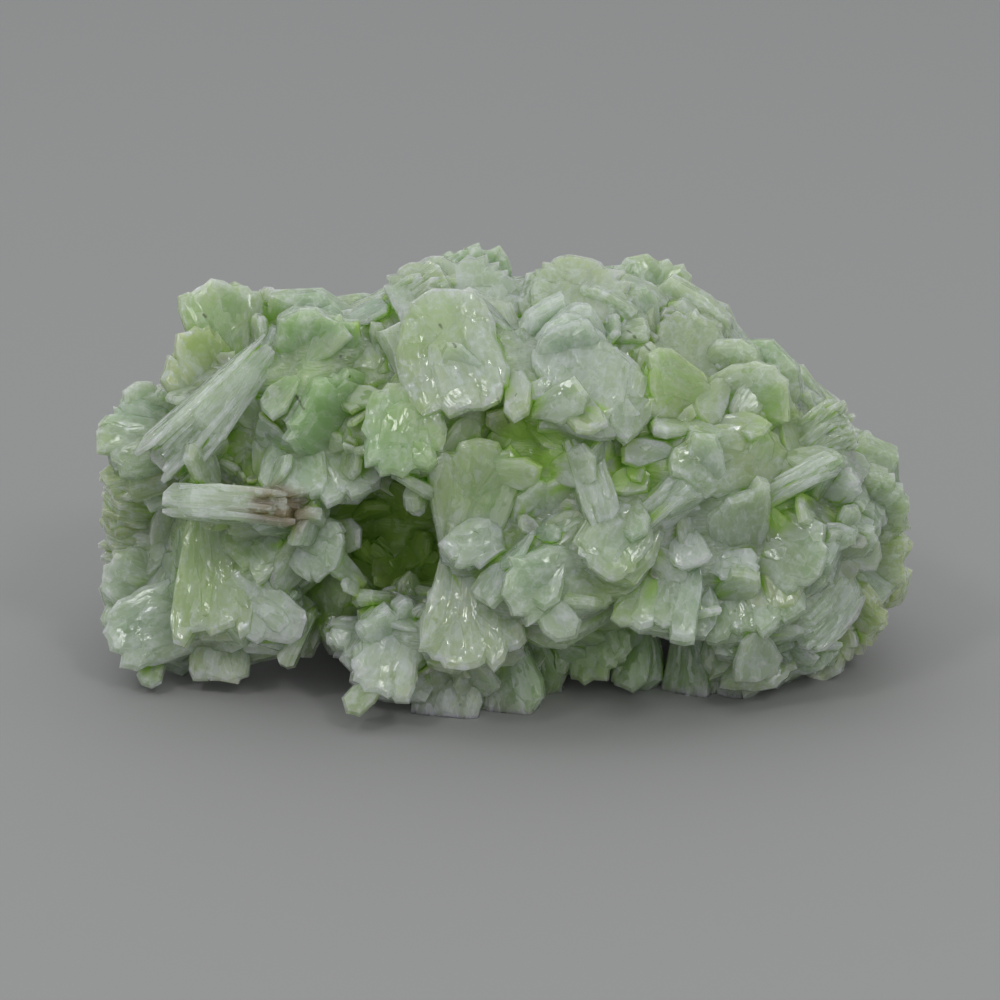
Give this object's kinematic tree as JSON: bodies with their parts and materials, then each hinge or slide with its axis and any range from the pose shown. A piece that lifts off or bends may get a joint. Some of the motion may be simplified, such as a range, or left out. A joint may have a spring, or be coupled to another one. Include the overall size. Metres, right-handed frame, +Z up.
{
  "type": "prehnite cluster",
  "caption": "Palm-sized lump of pale green prehnite: fans, sheaves and tablets of crystal grown together, with a deep green hollow in its front.",
  "frame": {"origin": "middle of the lump's box, at the surface that it lies on", "axes": "+Z up, -Y towards the side with the hollow, +X along the lump to its rounded end"},
  "size_m": [0.061, 0.0386, 0.0313],
  "materials": {
    "prehnite": "waxy and glossy, slightly see-through, whitish on the edges and deep green in the hollows"
  },
  "bodies": {
    "root": {"prehnite_cluster": "prehnite"}
  },
  "joints": []
}
